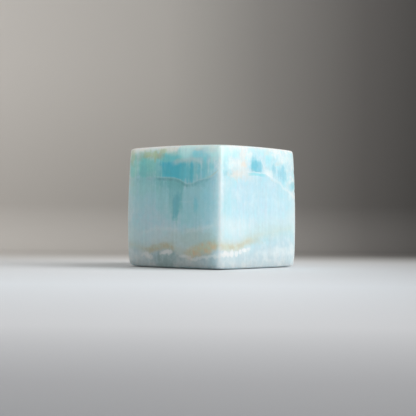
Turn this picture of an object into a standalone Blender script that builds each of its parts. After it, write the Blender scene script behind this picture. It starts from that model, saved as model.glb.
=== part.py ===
"""A polished calcite cube, hand cut from one banded block, in metres with +Z up.

The origin is the middle of the flat base, and the two faces that show most look along -Y and +X.
The block is a coarse cage of five rows a side, smoothed by a Subdivision Surface: the outer rows
hold the softened edges, and the middle rows swell the faces a little, as hand polishing does.
"""

import bmesh
import bpy
from mathutils import Vector

BLOCK_NAME = "calcite_cube"

# The block across its widest level, and its height over the base
WIDTH = 0.0513
DEPTH = 0.0514
HEIGHT = 0.0500

# Hand cutting leaves the sides slightly barrelled: widest low down, narrowest at the top
WIDEST_LEVEL = 0.30
TOP_NARROWING = 0.033
BASE_NARROWING = 0.001

# How far the holding rows stand from the edges: a larger distance is a rounder edge
UPRIGHT_EDGE_SOFTNESS = 0.0029
RIM_SOFTNESS = 0.0021
FOOT_SOFTNESS = 0.0025

# How far the middle of the top stands over its corners
TOP_DOME = 0.0005

# How far each corner is worn in along every axis, by its side of X, Y and Z
CORNER_WEAR = {
    (1, -1, 1): 0.0010,
    (-1, -1, 1): 0.0004,
    (1, 1, 1): 0.0005,
    (-1, 1, 1): 0.0009,
    (1, -1, -1): 0.0014,
    (-1, -1, -1): 0.0015,
    (1, 1, -1): 0.0010,
    (-1, 1, -1): 0.0013,
}
WEAR_PASSED_ON = 0.30

ROWS_CUT = 3
SMOOTHING_STEPS = 2

STONE_COLOUR = (0.55, 0.79, 0.84, 1.0)
STONE_ROUGHNESS = 0.28


def clear_scene():
    """Remove whatever the scene holds."""
    for thing in list(bpy.data.objects):
        bpy.data.objects.remove(thing, do_unlink=True)


def side_of(share):
    """Side of the block on which a row lies: -1, 0 or 1."""
    return (share > 0) - (share < 0)


def row_place(share, half, softness):
    """Place of a cage row along one axis: the rows between middle and edge hold the edge."""
    if abs(share) == 1:
        return side_of(share) * half
    return side_of(share) * (half - softness)


def level_width(level):
    """Share of the full width that the block has at a level from 0 (base) to 1 (top)."""
    if level > WIDEST_LEVEL:
        rise = (level - WIDEST_LEVEL) / (1 - WIDEST_LEVEL)
        return 1 - TOP_NARROWING * rise**2
    drop = (WIDEST_LEVEL - level) / WIDEST_LEVEL
    return 1 - BASE_NARROWING * drop**2


def dome_drop(share_x, share_y):
    """How far the top lies under its middle, at a place from -1 to 1 along X and Y."""
    return TOP_DOME * (share_x**2 + share_y**2) / 2


def wear_at(shares):
    """How far a cage point is worn in: a corner fully, the points next to it in part."""
    if 0 in shares:
        return 0.0
    corner = tuple(side_of(share) for share in shares)
    rows_away = sum(abs(share) < 1 for share in shares)
    return CORNER_WEAR[corner] * WEAR_PASSED_ON**rows_away


def cage_point(shares):
    """Place of the cage point whose rows are given as shares from -1 to 1 of each half side."""
    softness = RIM_SOFTNESS if shares[2] > 0 else FOOT_SOFTNESS
    z = HEIGHT / 2 + row_place(shares[2], HEIGHT / 2, softness)
    narrowed = level_width(z / HEIGHT)
    x = narrowed * row_place(shares[0], WIDTH / 2, UPRIGHT_EDGE_SOFTNESS)
    y = narrowed * row_place(shares[1], DEPTH / 2, UPRIGHT_EDGE_SOFTNESS)
    if shares[2] == 1:
        z -= dome_drop(2 * x / WIDTH, 2 * y / DEPTH)
    wear = wear_at(shares)
    x -= wear * side_of(shares[0])
    y -= wear * side_of(shares[1])
    # The base stays flat but for its corners, which the wear lifts
    if shares[2] == 1 or all(abs(share) == 1 for share in shares):
        z -= wear * side_of(shares[2])
    return Vector((x, y, z))


def make_stone():
    """Material of the block: pale blue polished stone."""
    stone = bpy.data.materials.new("polished_calcite")
    stone.use_nodes = True
    shader = stone.node_tree.nodes["Principled BSDF"]
    shader.inputs["Base Color"].default_value = STONE_COLOUR
    shader.inputs["Roughness"].default_value = STONE_ROUGHNESS
    shader.inputs["Metallic"].default_value = 0.0
    stone.diffuse_color = STONE_COLOUR
    return stone


def make_block(collection):
    """The block: a cube cut into rows, moved onto its cage and smoothed."""
    shape = bmesh.new()
    bmesh.ops.create_cube(shape, size=2.0)
    bmesh.ops.subdivide_edges(shape, edges=shape.edges[:], cuts=ROWS_CUT, use_grid_fill=True)
    for vertex in shape.verts:
        vertex.co = cage_point([round(2 * value) / 2 for value in vertex.co])
    mesh = bpy.data.meshes.new(BLOCK_NAME)
    shape.to_mesh(mesh)
    shape.free()
    mesh.shade_smooth()
    mesh.materials.append(make_stone())
    block = bpy.data.objects.new(BLOCK_NAME, mesh)
    collection.objects.link(block)
    smoothing = block.modifiers.new("polish", "SUBSURF")
    smoothing.levels = SMOOTHING_STEPS
    smoothing.render_levels = SMOOTHING_STEPS
    return block


def main():
    """Build the calcite cube in a collection of its own."""
    clear_scene()
    collection = bpy.data.collections.new("calcite_cube_block")
    bpy.context.scene.collection.children.link(collection)
    make_block(collection)


main()
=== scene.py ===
"""Studio scene of a polished calcite cube with blue, white and tan bands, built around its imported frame.

Lengths are in metres unless a name ends in _mm. The stone's own frame has +Z up and its origin in the
middle of the flat base; its front face looks along -Y and its right face along +X.
"""

import logging
import math
from dataclasses import dataclass, field
from enum import Enum
from typing import Any, Sequence

import bmesh
import bpy
from mathutils import Matrix, Vector, noise


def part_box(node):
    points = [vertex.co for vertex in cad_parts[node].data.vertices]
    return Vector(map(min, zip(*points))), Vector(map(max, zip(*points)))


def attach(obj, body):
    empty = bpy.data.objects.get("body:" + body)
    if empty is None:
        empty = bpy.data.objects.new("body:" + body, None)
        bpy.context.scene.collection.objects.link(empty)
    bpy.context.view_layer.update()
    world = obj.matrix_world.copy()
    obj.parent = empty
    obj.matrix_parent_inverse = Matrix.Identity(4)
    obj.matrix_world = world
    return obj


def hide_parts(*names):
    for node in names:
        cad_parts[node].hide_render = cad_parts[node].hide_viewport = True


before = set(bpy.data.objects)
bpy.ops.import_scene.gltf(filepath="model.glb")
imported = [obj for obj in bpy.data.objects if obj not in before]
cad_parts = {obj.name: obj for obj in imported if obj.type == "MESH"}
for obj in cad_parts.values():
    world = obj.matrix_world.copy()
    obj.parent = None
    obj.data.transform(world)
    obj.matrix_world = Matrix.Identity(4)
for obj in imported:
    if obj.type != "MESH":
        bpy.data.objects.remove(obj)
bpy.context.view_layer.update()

log = logging.getLogger("calcite_cube")

MM = 0.001
BODY = "root"

Colour = tuple[float, float, float]
Triple = tuple[float, float, float]


def ease(value: float, start: float, end: float) -> float:
    """Rise smoothly from 0 at start to 1 at end; start may be the larger one.

    Args:
        value: The value to ease.
        start: The value that gives 0.
        end: The value that gives 1.

    Returns:
        The eased value, held at 0 and 1 outside the two.
    """
    share = min(max((value - start) / (end - start), 0.0), 1.0)
    return share * share * (3 - 2 * share)


class Signal:
    """An output socket of a shader tree, which Python's operators combine into new nodes."""

    def __init__(self, graph: "Graph", socket: bpy.types.NodeSocket) -> None:
        """Wrap a socket of a graph."""
        self.graph = graph
        self.socket = socket

    @property
    def is_vector(self) -> bool:
        """Whether the socket carries three numbers instead of one."""
        return self.socket.type in {"VECTOR", "RGBA"}

    def combine(self, operation: str, *operands: Any) -> "Signal":
        """Add a Math or a Vector Math node.

        Args:
            operation: The node's operation.
            operands: Its operands: signals, numbers or three numbers.

        Returns:
            The node's result.
        """
        kind = "ShaderNodeVectorMath" if self.is_vector else "ShaderNodeMath"
        return self.graph.node(kind, {"operation": operation}, dict(enumerate(operands)))

    def __add__(self, other: Any) -> "Signal":
        """Sum with a signal or a number."""
        return self.combine("ADD", self, other)

    def __radd__(self, other: Any) -> "Signal":
        """Sum with a number on the left."""
        return self.combine("ADD", other, self)

    def __sub__(self, other: Any) -> "Signal":
        """Difference to a signal or a number."""
        return self.combine("SUBTRACT", self, other)

    def __rsub__(self, other: Any) -> "Signal":
        """Difference from a number on the left."""
        return self.combine("SUBTRACT", other, self)

    def __mul__(self, other: Any) -> "Signal":
        """Product with a signal or a number, or with three numbers for a vector."""
        return self.combine("MULTIPLY", self, other)

    def __rmul__(self, other: Any) -> "Signal":
        """Product with a number on the left."""
        return self.combine("MULTIPLY", other, self)

    def __truediv__(self, other: Any) -> "Signal":
        """Quotient by a signal or a number."""
        return self.combine("DIVIDE", self, other)

    def __abs__(self) -> "Signal":
        """Size without its sign."""
        return self.combine("ABSOLUTE", self)

    def plus_share(self, other: Any, share: float) -> "Signal":
        """This and a share of another signal, in one node."""
        return other.combine("MULTIPLY_ADD", other, share, self)

    def at_least(self, other: Any) -> "Signal":
        """The larger of this and another value."""
        return self.combine("MAXIMUM", self, other)

    def at_most(self, other: Any) -> "Signal":
        """The smaller of this and another value."""
        return self.combine("MINIMUM", self, other)

    def sine(self) -> "Signal":
        """Sine of an angle in radians."""
        return self.combine("SINE", self)

    def length(self) -> "Signal":
        """Length of the vector."""
        return self.graph.node("ShaderNodeVectorMath", {"operation": "LENGTH"}, {0: self}, "Value")

    def dot(self, other: Any) -> "Signal":
        """Dot product with another vector."""
        settings = {"operation": "DOT_PRODUCT"}
        return self.graph.node("ShaderNodeVectorMath", settings, {0: self, 1: other}, "Value")

    def parts(self) -> list["Signal"]:
        """The vector's X, Y and Z."""
        split = self.graph.add("ShaderNodeSeparateXYZ", {}, {0: self})
        return [Signal(self.graph, output) for output in split.outputs]

    def fade(self, start: float, end: float, peak: float = 1.0) -> "Signal":
        """Rise smoothly from 0 at start to the peak at end; start may be the larger one.

        Args:
            start: The value that gives 0.
            end: The value that gives the peak.
            peak: The highest result.

        Returns:
            The eased value, held at 0 and at the peak outside the two.
        """
        first, last = (0.0, peak) if start < end else (peak, 0.0)
        inputs = {"Value": self, "From Min": min(start, end), "From Max": max(start, end),
                  "To Min": first, "To Max": last}
        return self.graph.node("ShaderNodeMapRange", {"interpolation_type": "SMOOTHSTEP"}, inputs)


class Graph:
    """The shader tree of one material, filled from Python expressions."""

    def __init__(self, material: bpy.types.Material) -> None:
        """Start on a material's tree, which holds its shader and its output."""
        material.use_nodes = True
        self.tree = material.node_tree
        self.shader = self.tree.nodes["Principled BSDF"]

    @staticmethod
    def find(sockets: Any, key: int | str) -> bpy.types.NodeSocket:
        """Find a socket by its place, its identifier or its name.

        Args:
            sockets: A node's inputs or outputs.
            key: The place, the identifier or the name.

        Returns:
            The socket.
        """
        if isinstance(key, int):
            return sockets[key]
        named = [socket for socket in sockets if key in (socket.identifier, socket.name)]
        return next((socket for socket in named if socket.enabled), named[0])

    def add(self, kind: str, settings: dict[str, Any], inputs: dict[Any, Any]) -> bpy.types.Node:
        """Add a node: its settings first, then the values or the links of its sockets.

        Args:
            kind: The node's type.
            settings: Its settings by name; stops fills a colour ramp, and points a float curve.
            inputs: A value or a signal for each socket.

        Returns:
            The node.
        """
        node = self.tree.nodes.new(kind)
        for name, value in settings.items():
            if name == "stops":
                self.fill_ramp(node.color_ramp, value)
            elif name == "points":
                self.fill_curve(node.mapping, value)
            else:
                setattr(node, name, value)
        for key, value in inputs.items():
            self.feed(self.find(node.inputs, key), value)
        return node

    def node(self, kind: str, settings: dict[str, Any], inputs: dict[Any, Any],
             output: int | str = 0) -> Signal:
        """Add a node and take one of its outputs.

        Args:
            kind: The node's type.
            settings: Its settings by name.
            inputs: A value or a signal for each socket.
            output: The place or the name of the output.

        Returns:
            The output's signal.
        """
        return Signal(self, self.find(self.add(kind, settings, inputs).outputs, output))

    def feed(self, socket: bpy.types.NodeSocket, value: Any) -> None:
        """Link a signal to a socket, or set a number, three numbers or a colour on it.

        Args:
            socket: The input socket.
            value: The signal, the number, the three numbers or the tone.
        """
        if isinstance(value, Signal):
            self.tree.links.new(value.socket, socket)
        elif isinstance(value, Tone):
            socket.default_value = (*value.value, 1.0)
        elif socket.type == "VECTOR" and isinstance(value, (int, float)):
            socket.default_value = (value,) * 3
        else:
            socket.default_value = value

    @staticmethod
    def fill_ramp(ramp: bpy.types.ColorRamp, stops: Sequence[tuple[float, Colour]]) -> None:
        """Give a colour ramp its stops.

        Args:
            ramp: The ramp, with its two first stops.
            stops: The place and the colour of each stop, in order.
        """
        while len(ramp.elements) < len(stops):
            ramp.elements.new(1.0)
        for element, (place, colour) in zip(ramp.elements, stops):
            element.position = place
            element.color = (*colour, 1.0)

    @staticmethod
    def fill_curve(mapping: bpy.types.CurveMapping, points: Sequence[tuple[float, float]]) -> None:
        """Give a float curve its points.

        Args:
            mapping: The curve's mapping, with its two first points.
            points: The points, from 0 to 1 both ways, in order.
        """
        curve = mapping.curves[0]
        while len(curve.points) < len(points):
            curve.points.new(0.5, 0.5)
        for point, place in zip(curve.points, points):
            point.location = place
        mapping.update()

    def mix(self, factor: Any, under: Any, over: Any) -> Signal:
        """Lay one colour over another.

        Args:
            factor: How much of the upper colour shows, from 0 to 1.
            under: The lower colour.
            over: The upper colour.

        Returns:
            The mixed colour.
        """
        settings = {"data_type": "RGBA", "clamp_factor": True}
        inputs = {"Factor_Float": factor, "A_Color": under, "B_Color": over}
        return self.node("ShaderNodeMix", settings, inputs, "Result_Color")

    def noise(self, place: Signal, per_mm: float, detail: float = 2.0, roughness: float = 0.5,
              output: str = "Fac") -> Signal:
        """Fractal noise at a place.

        Args:
            place: The place, in millimetres.
            per_mm: How many cells the noise has in a millimetre.
            detail: How many finer layers are added.
            roughness: How strong each finer layer is.
            output: Fac for one number, and Color for three.

        Returns:
            The noise, about 0.5 on average.
        """
        inputs = {"Vector": place, "Scale": per_mm, "Detail": detail, "Roughness": roughness}
        return self.node("ShaderNodeTexNoise", {}, inputs, output)


class Tone(Enum):
    """The colours of the stone's minerals, as linear red, green and blue.

    The sky blue also serves as a painted glow under the top rim, and the darkest tone is a painted
    contact shadow.
    """

    PALE = (0.60, 0.77, 0.85)
    ASH_BLUE = (0.55, 0.76, 0.83)
    AQUA = (0.38, 0.76, 0.80)
    CYAN = (0.36, 0.80, 0.88)
    TEAL = (0.20, 0.70, 0.78)
    DEEP_TEAL = (0.11, 0.64, 0.75)
    LAGOON = (0.17, 0.57, 0.68)
    SLATE = (0.24, 0.63, 0.66)
    SEA_GREEN = (0.33, 0.74, 0.70)
    SAGE = (0.50, 0.65, 0.60)
    # Sky blue, also a painted glow: brighter than the stone can be, for light let in by the lit top
    SKY_AND_GLOW = (0.64, 0.97, 1.00)
    MILK = (0.86, 0.90, 0.91)
    HAZE = (0.64, 0.78, 0.80)
    CREAM = (0.84, 0.86, 0.79)
    ROSE = (0.80, 0.79, 0.76)
    PEACH = (0.84, 0.72, 0.60)
    OLIVE = (0.56, 0.66, 0.44)
    UMBER = (0.58, 0.56, 0.41)
    OCHRE = (0.67, 0.60, 0.41)
    AMBER = (0.80, 0.54, 0.30)
    FOOT = (0.53, 0.68, 0.74)
    SMOKE = (0.29, 0.46, 0.47)
    SHADE = (0.20, 0.50, 0.54)
    # Painted contact shadow along the line on which the block stands
    CONTACT_SHADE = (0.10, 0.14, 0.14)


class Face(Enum):
    """The faces of the block, each with its outward direction."""

    FRONT = (0, -1, 0)
    RIGHT = (1, 0, 0)
    BACK = (0, 1, 0)
    LEFT = (-1, 0, 0)
    TOP = (0, 0, 1)

    def place(self, across: float, up: float, half_mm: float, height_mm: float) -> Triple:
        """Place of a point on the face, in the block's frame.

        Args:
            across: How far along X, or along Y on the two faces across X.
            up: How far up, or along Y on the top.
            half_mm: Half of the block's side.
            height_mm: The block's height.

        Returns:
            The point's X, Y and Z in millimetres.
        """
        x, y, z = self.value
        if z:
            return (across, up, height_mm)
        return (across, y * half_mm, up) if y else (x * half_mm, across, up)

    def radii(self, width: float, height: float, depth: float) -> Triple:
        """Radii along X, Y and Z of a pocket that lies on the face.

        Args:
            width: Its half width along the face.
            height: Its half height along the face.
            depth: How deep it reaches into the stone.

        Returns:
            The three radii, in the same unit.
        """
        x, y, z = self.value
        if z:
            return (width, height, depth)
        return (width, depth, height) if y else (depth, width, height)

    @property
    def across_axis(self) -> int:
        """The axis that runs across the face: 0 for X and 1 for Y."""
        return 1 if self in (Face.RIGHT, Face.LEFT) else 0


class Side(Enum):
    """Where a pocket may show: anywhere, or on one side of the vein."""

    ANY = "any"
    OVER_VEIN = "over"
    UNDER_VEIN = "under"


@dataclass(frozen=True)
class Profile:
    """A line across one face: heights over places, both in millimetres."""

    points: tuple[tuple[float, float], ...]
    reach: float = 26.0
    tallest: float = 60.0

    def height(self, place: float) -> float:
        """Height of the line at a place.

        Args:
            place: The place along the face.

        Returns:
            The height there.
        """
        for (left, start), (right, end) in zip(self.points, self.points[1:]):
            if place <= right:
                return start + (end - start) * ease(place, left, right)
        return self.points[-1][1]

    def signal(self, place: Signal) -> Signal:
        """The same line as nodes.

        Args:
            place: The place along the face, in millimetres.

        Returns:
            The height there, in millimetres.
        """
        span = 2 * self.reach
        points = [((x + self.reach) / span, z / self.tallest) for x, z in self.points]
        share = (place + self.reach) / span
        return share.graph.node("ShaderNodeFloatCurve", {"points": points}, {"Value": share}) * self.tallest


@dataclass(frozen=True)
class Layer:
    """A layer that runs through the block as a sheet, from its lines on the front and the right face.

    Away from those two faces, the sheet also wanders up and down.
    """

    front: Profile
    right: Profile
    wander: float = 2.5
    turns: Triple = (0.16, 0.11, 0.7)
    clear: tuple[float, float] = (22.0, 6.0)
    ripple_share: float = 0.3
    ripple_pace: float = 2.7

    @property
    def corner(self) -> float:
        """Height of the sheet at the upright edge that the two faces share."""
        return self.right.points[0][1]

    def over(self, place: Vector, reach: float = 3.0) -> float:
        """How far a place lies over the sheet.

        Args:
            place: The place in millimetres.
            reach: The answer for a place that the sheet never comes so near to.

        Returns:
            The distance in millimetres.
        """
        levels = [[height for _, height in line.points] for line in (self.front, self.right)]
        swing = (1 + self.ripple_share) * self.wander
        low = min(levels[0]) + min(levels[1]) - self.corner - swing
        high = max(levels[0]) + max(levels[1]) - self.corner + swing
        if not low - reach < place.z < high + reach:
            return reach
        return place.z - self.height(place.x, place.y)

    def height(self, x: float, y: float) -> float:
        """Height of the sheet over a point of the base.

        Args:
            x: The point's X in millimetres.
            y: The point's Y in millimetres.

        Returns:
            The height in millimetres.
        """
        along_x, along_y, start = self.turns
        hidden = ease(x, *self.clear) * ease(-y, *self.clear)
        turn = x * along_x + y * along_y + start
        ripple = math.sin(turn * self.ripple_pace) * self.ripple_share
        wander = (math.sin(turn) + ripple) * self.wander * hidden
        return self.front.height(x) + self.right.height(y) - self.corner + wander

    def signal(self, x: Signal, y: Signal) -> Signal:
        """The sheet's height as nodes.

        Args:
            x: X in millimetres.
            y: Y in millimetres.

        Returns:
            The height in millimetres.
        """
        along_x, along_y, start = self.turns
        hidden = x.fade(*self.clear) * (-1 * y).fade(*self.clear)
        turn = x * along_x + y * along_y + start
        wave = turn.sine() + (turn * self.ripple_pace).sine() * self.ripple_share
        wander = wave * self.wander * hidden
        return self.front.signal(x) + self.right.signal(y) - self.corner + wander


VEIN = Layer(
    Profile(((-25.5, 37.2), (-14.0, 37.2), (-7.0, 37.0), (-1.4, 36.7), (2.5, 36.2), (5.0, 35.3),
             (7.0, 34.4), (9.0, 34.1), (11.0, 34.2), (13.5, 35.2), (16.0, 35.7), (19.0, 36.2),
             (22.0, 37.2), (25.5, 37.0))),
    Profile(((-25.5, 37.0), (-21.4, 37.2), (-15.7, 38.4), (-10.5, 39.0), (-5.9, 39.1), (-1.2, 39.0),
             (2.2, 38.7), (5.6, 37.9), (11.2, 35.8), (16.9, 33.4), (22.7, 30.0), (25.5, 28.2))),
)
SEAM = Layer(
    Profile(((-25.5, 9.0), (-18.0, 7.8), (-13.5, 7.0), (-9.0, 8.0), (-5.5, 8.8), (-2.0, 9.1), (1.0, 8.5),
             (4.0, 6.7), (7.0, 5.9), (10.0, 6.1), (13.0, 6.9), (16.0, 7.7), (19.0, 8.3), (22.0, 9.2),
             (25.5, 9.4))),
    Profile(((-25.5, 9.4), (-20.0, 8.8), (-16.0, 8.6), (-13.0, 9.2), (-9.0, 10.5), (-5.0, 11.6),
             (-1.0, 12.8), (7.7, 14.0), (21.9, 15.6), (25.5, 15.8))),
    wander=1.8, turns=(0.21, -0.13, 2.1),
)
CRUST = Layer(
    Profile(((-25.5, 46.6), (-19.0, 47.2), (-12.0, 47.8), (-7.5, 48.0), (-3.5, 47.0), (2.0, 47.3),
             (4.5, 49.8), (14.0, 51.0), (25.5, 49.0))),
    Profile(((-25.5, 49.0), (-10.0, 49.4), (0.0, 49.8), (12.0, 49.2), (25.5, 48.6))),
    wander=3.0, turns=(0.19, 0.23, 1.2),
)


@dataclass(frozen=True)
class Pocket:
    """A patch of another colour that lies on one face and reaches a little way into the stone.

    Places and sizes are in millimetres, and the sizes are half widths. blur is the share of its size
    over which the patch fades, streak how much the fibres fray it, ragged how much its outline
    wanders, and taper how much wider it is at its top than at its middle.
    """

    face: Face
    across: float
    up: float
    width: float
    height: float
    tone: Tone
    strength: float = 1.0
    blur: float = 0.6
    streak: float = 0.2
    ragged: float = 0.6
    taper: float = 0.0
    squared: bool = False
    side: Side = Side.ANY
    depth: float = 6.0


@dataclass(frozen=True)
class Strand:
    """A thin layer that shows as a line on one face, from its first to its last point.

    Places and sizes are in millimetres, and width is half of the line's own.
    """

    face: Face
    points: tuple[tuple[float, float], ...]
    width: float
    tone: Tone
    strength: float = 0.6
    ragged: float = 0.5
    blur: float = 1.0


FRONT_PATCHES = (
    # Wide tints of the body
    Pocket(Face.FRONT, 11.5, 27.5, 9.5, 11.5, Tone.AQUA, 0.62, 1.0, 0.5),
    Pocket(Face.FRONT, -1.0, 31.0, 9.0, 9.0, Tone.AQUA, 0.62, 1.0, 0.6),
    Pocket(Face.FRONT, -13.0, 29.5, 11.0, 6.0, Tone.AQUA, 0.34, 1.0, 0.8),
    Pocket(Face.FRONT, -15.0, 33.5, 8.0, 4.0, Tone.SEA_GREEN, 0.35, 1.0, 0.8),
    Pocket(Face.FRONT, 7.5, 20.5, 2.4, 4.0, Tone.AQUA, 0.45, 1.0, 0.6),
    # The green and the teal over the vein
    Pocket(Face.FRONT, -14.0, 41.3, 9.5, 5.8, Tone.SEA_GREEN, 0.92, 1.0, 0.8, side=Side.OVER_VEIN),
    Pocket(Face.FRONT, -16.0, 39.6, 3.4, 3.6, Tone.TEAL, 0.30, 1.3, 1.2, side=Side.OVER_VEIN),
    Pocket(Face.FRONT, 4.5, 41.0, 14.0, 6.0, Tone.AQUA, 0.80, 0.6, 0.6, side=Side.OVER_VEIN),
    Pocket(Face.FRONT, -0.6, 45.0, 5.4, 2.7, Tone.SEA_GREEN, 0.80, 0.6, 0.4, squared=True),
    Pocket(Face.FRONT, -1.0, 44.2, 5.0, 2.2, Tone.TEAL, 0.50, 1.0, 0.5, squared=True),
    Pocket(Face.FRONT, 1.0, 39.6, 6.6, 3.5, Tone.TEAL, 0.75, 0.22, 0.08, 0.30, squared=True,
           side=Side.OVER_VEIN),
    Pocket(Face.FRONT, 0.6, 39.6, 6.1, 3.1, Tone.DEEP_TEAL, 0.88, 0.6, 0.35, 0.5, squared=True,
           side=Side.OVER_VEIN),
    Pocket(Face.FRONT, 8.4, 38.8, 3.0, 4.4, Tone.TEAL, 0.88, 1.0, 0.8, side=Side.OVER_VEIN),
    Pocket(Face.FRONT, 10.4, 38.8, 0.8, 5.0, Tone.DEEP_TEAL, 0.80, 1.0, 0.4, 0.2, side=Side.OVER_VEIN),
    Pocket(Face.FRONT, 14.0, 39.0, 1.2, 3.6, Tone.TEAL, 0.68, 1.0, 0.9, 0.4, side=Side.OVER_VEIN),
    Pocket(Face.FRONT, 17.0, 38.8, 1.7, 3.2, Tone.TEAL, 0.55, 1.0, 1.2, 0.4, side=Side.OVER_VEIN),
    Pocket(Face.FRONT, 20.6, 41.0, 1.5, 3.6, Tone.TEAL, 0.36, 1.0, 1.0, 0.5, side=Side.OVER_VEIN),
    Pocket(Face.FRONT, -14.5, 38.2, 8.0, 2.4, Tone.SLATE, 0.34, 1.3, 1.0, 0.8, side=Side.OVER_VEIN),
    Pocket(Face.FRONT, 17.5, 38.6, 6.0, 4.0, Tone.AQUA, 0.35, 1.0, 0.8, 0.8, side=Side.OVER_VEIN),
    Pocket(Face.FRONT, 0.6, 46.8, 3.8, 1.2, Tone.ROSE, 0.35, 1.3, 0.1, 0.8),
    Pocket(Face.FRONT, 13.0, 12.2, 12.0, 3.6, Tone.SAGE, 0.45, 1.0, 0.2, 0.8, depth=4.0),
    Pocket(Face.FRONT, 14.5, 45.8, 5.4, 2.6, Tone.CYAN, 0.65, 1.0, 0.3, 1.2),
    Pocket(Face.FRONT, 13.8, 47.9, 2.4, 0.9, Tone.ROSE, 0.50, 1.0, 0.1, 1.0),
    Pocket(Face.FRONT, 18.4, 46.6, 2.4, 1.6, Tone.MILK, 0.40, 1.3, 0.1, 1.2),
    Pocket(Face.FRONT, 20.8, 43.8, 1.6, 2.2, Tone.ROSE, 0.32, 1.0, 0.1, 1.0),
    Pocket(Face.FRONT, -22.8, 41.0, 3.0, 6.0, Tone.CREAM, 0.34, 1.3, 0.4, 0.8),
    # The fang and its neighbours under the vein
    Pocket(Face.FRONT, 1.0, 35.0, 9.0, 3.0, Tone.SLATE, 0.50, 1.0, 0.7, side=Side.UNDER_VEIN),
    Pocket(Face.FRONT, 2.0, 34.8, 6.0, 1.6, Tone.SLATE, 0.50, 1.3, 0.5, side=Side.UNDER_VEIN),
    Pocket(Face.FRONT, 14.0, 34.8, 8.0, 1.8, Tone.SLATE, 0.36, 1.3, 0.6, side=Side.UNDER_VEIN),
    Pocket(Face.FRONT, -15.0, 35.8, 10.0, 1.6, Tone.SLATE, 0.28, 1.3, 0.4, 1.0, side=Side.UNDER_VEIN),
    Pocket(Face.FRONT, -3.6, 33.0, 2.6, 3.4, Tone.SLATE, 0.30, 1.3, 0.8, side=Side.UNDER_VEIN),
    Pocket(Face.FRONT, 1.8, 28.0, 3.1, 8.2, Tone.SLATE, 0.50, 0.6, 0.5, 0.4, taper=0.50,
           side=Side.UNDER_VEIN),
    Pocket(Face.FRONT, 2.4, 25.4, 1.6, 3.8, Tone.LAGOON, 0.60, 1.0, 0.6, 0.3, taper=0.25),
    Pocket(Face.FRONT, 4.4, 25.0, 1.5, 1.6, Tone.SLATE, 0.40, 1.3, 0.8, 0.5),
    Pocket(Face.FRONT, 12.8, 25.4, 1.3, 3.3, Tone.TEAL, 0.45, 1.0, 0.5, 0.3),
)
FRONT_STRANDS = (
    Strand(Face.FRONT, ((-1.0, 42.6), (3.0, 43.0), (6.0, 43.5), (9.0, 44.0), (12.0, 43.6), (17.0, 43.0)),
           0.9, Tone.ROSE, 0.48, 0.6, 1.9),
    Strand(Face.FRONT, ((18.0, 36.4), (21.0, 37.0), (23.0, 38.3), (25.0, 40.5)), 0.35, Tone.OCHRE, 0.28),
    Strand(Face.FRONT, ((-18.0, 13.4), (-13.0, 15.0), (-8.0, 16.1), (-2.0, 15.9), (2.0, 15.0),
           (5.0, 14.4)), 0.80, Tone.MILK, 0.22, 1.0, 1.8),
    Strand(Face.FRONT, ((6.0, 15.0), (13.0, 15.6), (18.0, 16.4), (24.0, 17.8)), 0.90, Tone.MILK, 0.28,
           1.0, 1.8),
    Strand(Face.FRONT, ((3.5, 26.6), (6.0, 26.8), (9.0, 26.7), (12.0, 26.9)), 0.25, Tone.MILK, 0.12, 0.2),
)
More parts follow.
